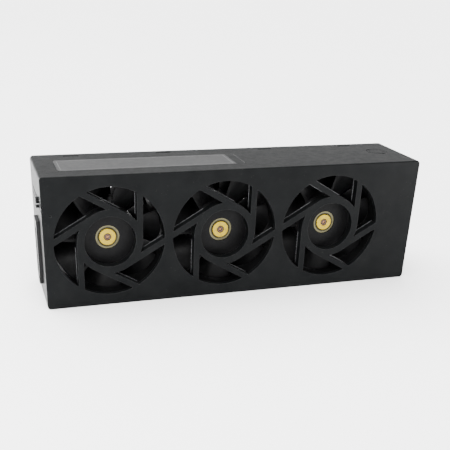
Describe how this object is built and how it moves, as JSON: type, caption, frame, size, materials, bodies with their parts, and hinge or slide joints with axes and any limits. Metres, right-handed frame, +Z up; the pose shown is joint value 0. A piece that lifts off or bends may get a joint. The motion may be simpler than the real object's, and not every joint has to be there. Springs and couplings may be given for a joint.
{
  "type": "server fan module",
  "caption": "Hot-swap cooling module: axial fans side by side in a snap-together casing with intake guards, an end plug and a lever handle.",
  "frame": {"origin": "middle of the casing's flat base", "axes": "+X along the module towards the handle end, +Y from the intake face to the exhaust face, +Z up"},
  "size_m": [0.2045, 0.0476, 0.0676],
  "materials": {
    "shell_plastic": "fine satin moulded",
    "cover_plastic": "fine satin moulded",
    "label_film": "smooth film",
    "isolator_rubber": "matte",
    "plug_plastic": "satin",
    "contact_brass": "plated",
    "board_laminate": "solder mask",
    "lead_sleeve": "soft sleeve",
    "pin_steel": "turned",
    "lever_plastic": "fine satin moulded",
    "frame_plastic": "satin moulded",
    "tube_brass": "turned",
    "bearing_steel": "ground",
    "core_steel": "laminated",
    "coil_copper": "enamelled wire",
    "blade_plastic": "polished moulded",
    "yoke_steel": "pressed, zinc plated",
    "magnet_ferrite": "bonded ferrite",
    "bush_brass": "turned",
    "shaft_steel": "ground",
    "clip_steel": "spring steel"
  },
  "bodies": {
    "casing": {"front_shell": "shell_plastic", "rear_cover": "cover_plastic", "label_blank": "label_film", "front_isolators": "isolator_rubber", "rear_isolators": "isolator_rubber", "plug_block": "plug_plastic", "plug_contacts": "contact_brass", "wiring_board": "board_laminate", "fan_leads": "lead_sleeve", "handle_pin": "pin_steel", "fan_frame_left": "frame_plastic", "bearing_tube_left": "tube_brass", "bearings_left": "bearing_steel", "stator_core_left": "core_steel", "stator_coils_left": "coil_copper", "driver_board_left": "board_laminate", "fan_frame_middle": "frame_plastic", "bearing_tube_middle": "tube_brass", "bearings_middle": "bearing_steel", "stator_core_middle": "core_steel", "stator_coils_middle": "coil_copper", "driver_board_middle": "board_laminate", "fan_frame_right": "frame_plastic", "bearing_tube_right": "tube_brass", "bearings_right": "bearing_steel", "stator_core_right": "core_steel", "stator_coils_right": "coil_copper", "driver_board_right": "board_laminate"},
    "rotor_left": {"impeller_left": "blade_plastic", "rotor_yoke_left": "yoke_steel", "rotor_magnet_left": "magnet_ferrite", "hub_bush_left": "bush_brass", "fan_shaft_left": "shaft_steel", "shaft_clip_left": "clip_steel"},
    "rotor_middle": {"impeller_middle": "blade_plastic", "rotor_yoke_middle": "yoke_steel", "rotor_magnet_middle": "magnet_ferrite", "hub_bush_middle": "bush_brass", "fan_shaft_middle": "shaft_steel", "shaft_clip_middle": "clip_steel"},
    "rotor_right": {"impeller_right": "blade_plastic", "rotor_yoke_right": "yoke_steel", "rotor_magnet_right": "magnet_ferrite", "hub_bush_right": "bush_brass", "fan_shaft_right": "shaft_steel", "shaft_clip_right": "clip_steel"},
    "handle": {"handle_lever": "lever_plastic"}
  },
  "joints": [
    {"name": "spin_left", "type": "hinge", "parent": "casing", "child": "rotor_left", "pos_m": [-0.0688, 0, 0.03375], "axis": [0, 1, 0], "continuous": true},
    {"name": "spin_middle", "type": "hinge", "parent": "casing", "child": "rotor_middle", "pos_m": [-0.0088, 0, 0.03375], "axis": [0, 1, 0], "continuous": true},
    {"name": "spin_right", "type": "hinge", "parent": "casing", "child": "rotor_right", "pos_m": [0.0512, 0, 0.03375], "axis": [0, 1, 0], "continuous": true},
    {"name": "handle_swing", "type": "hinge", "parent": "casing", "child": "handle", "pos_m": [0.0972, 0.01075, 0.03375], "axis": [0, 0, 1], "range_deg": [0, 60]}
  ]
}
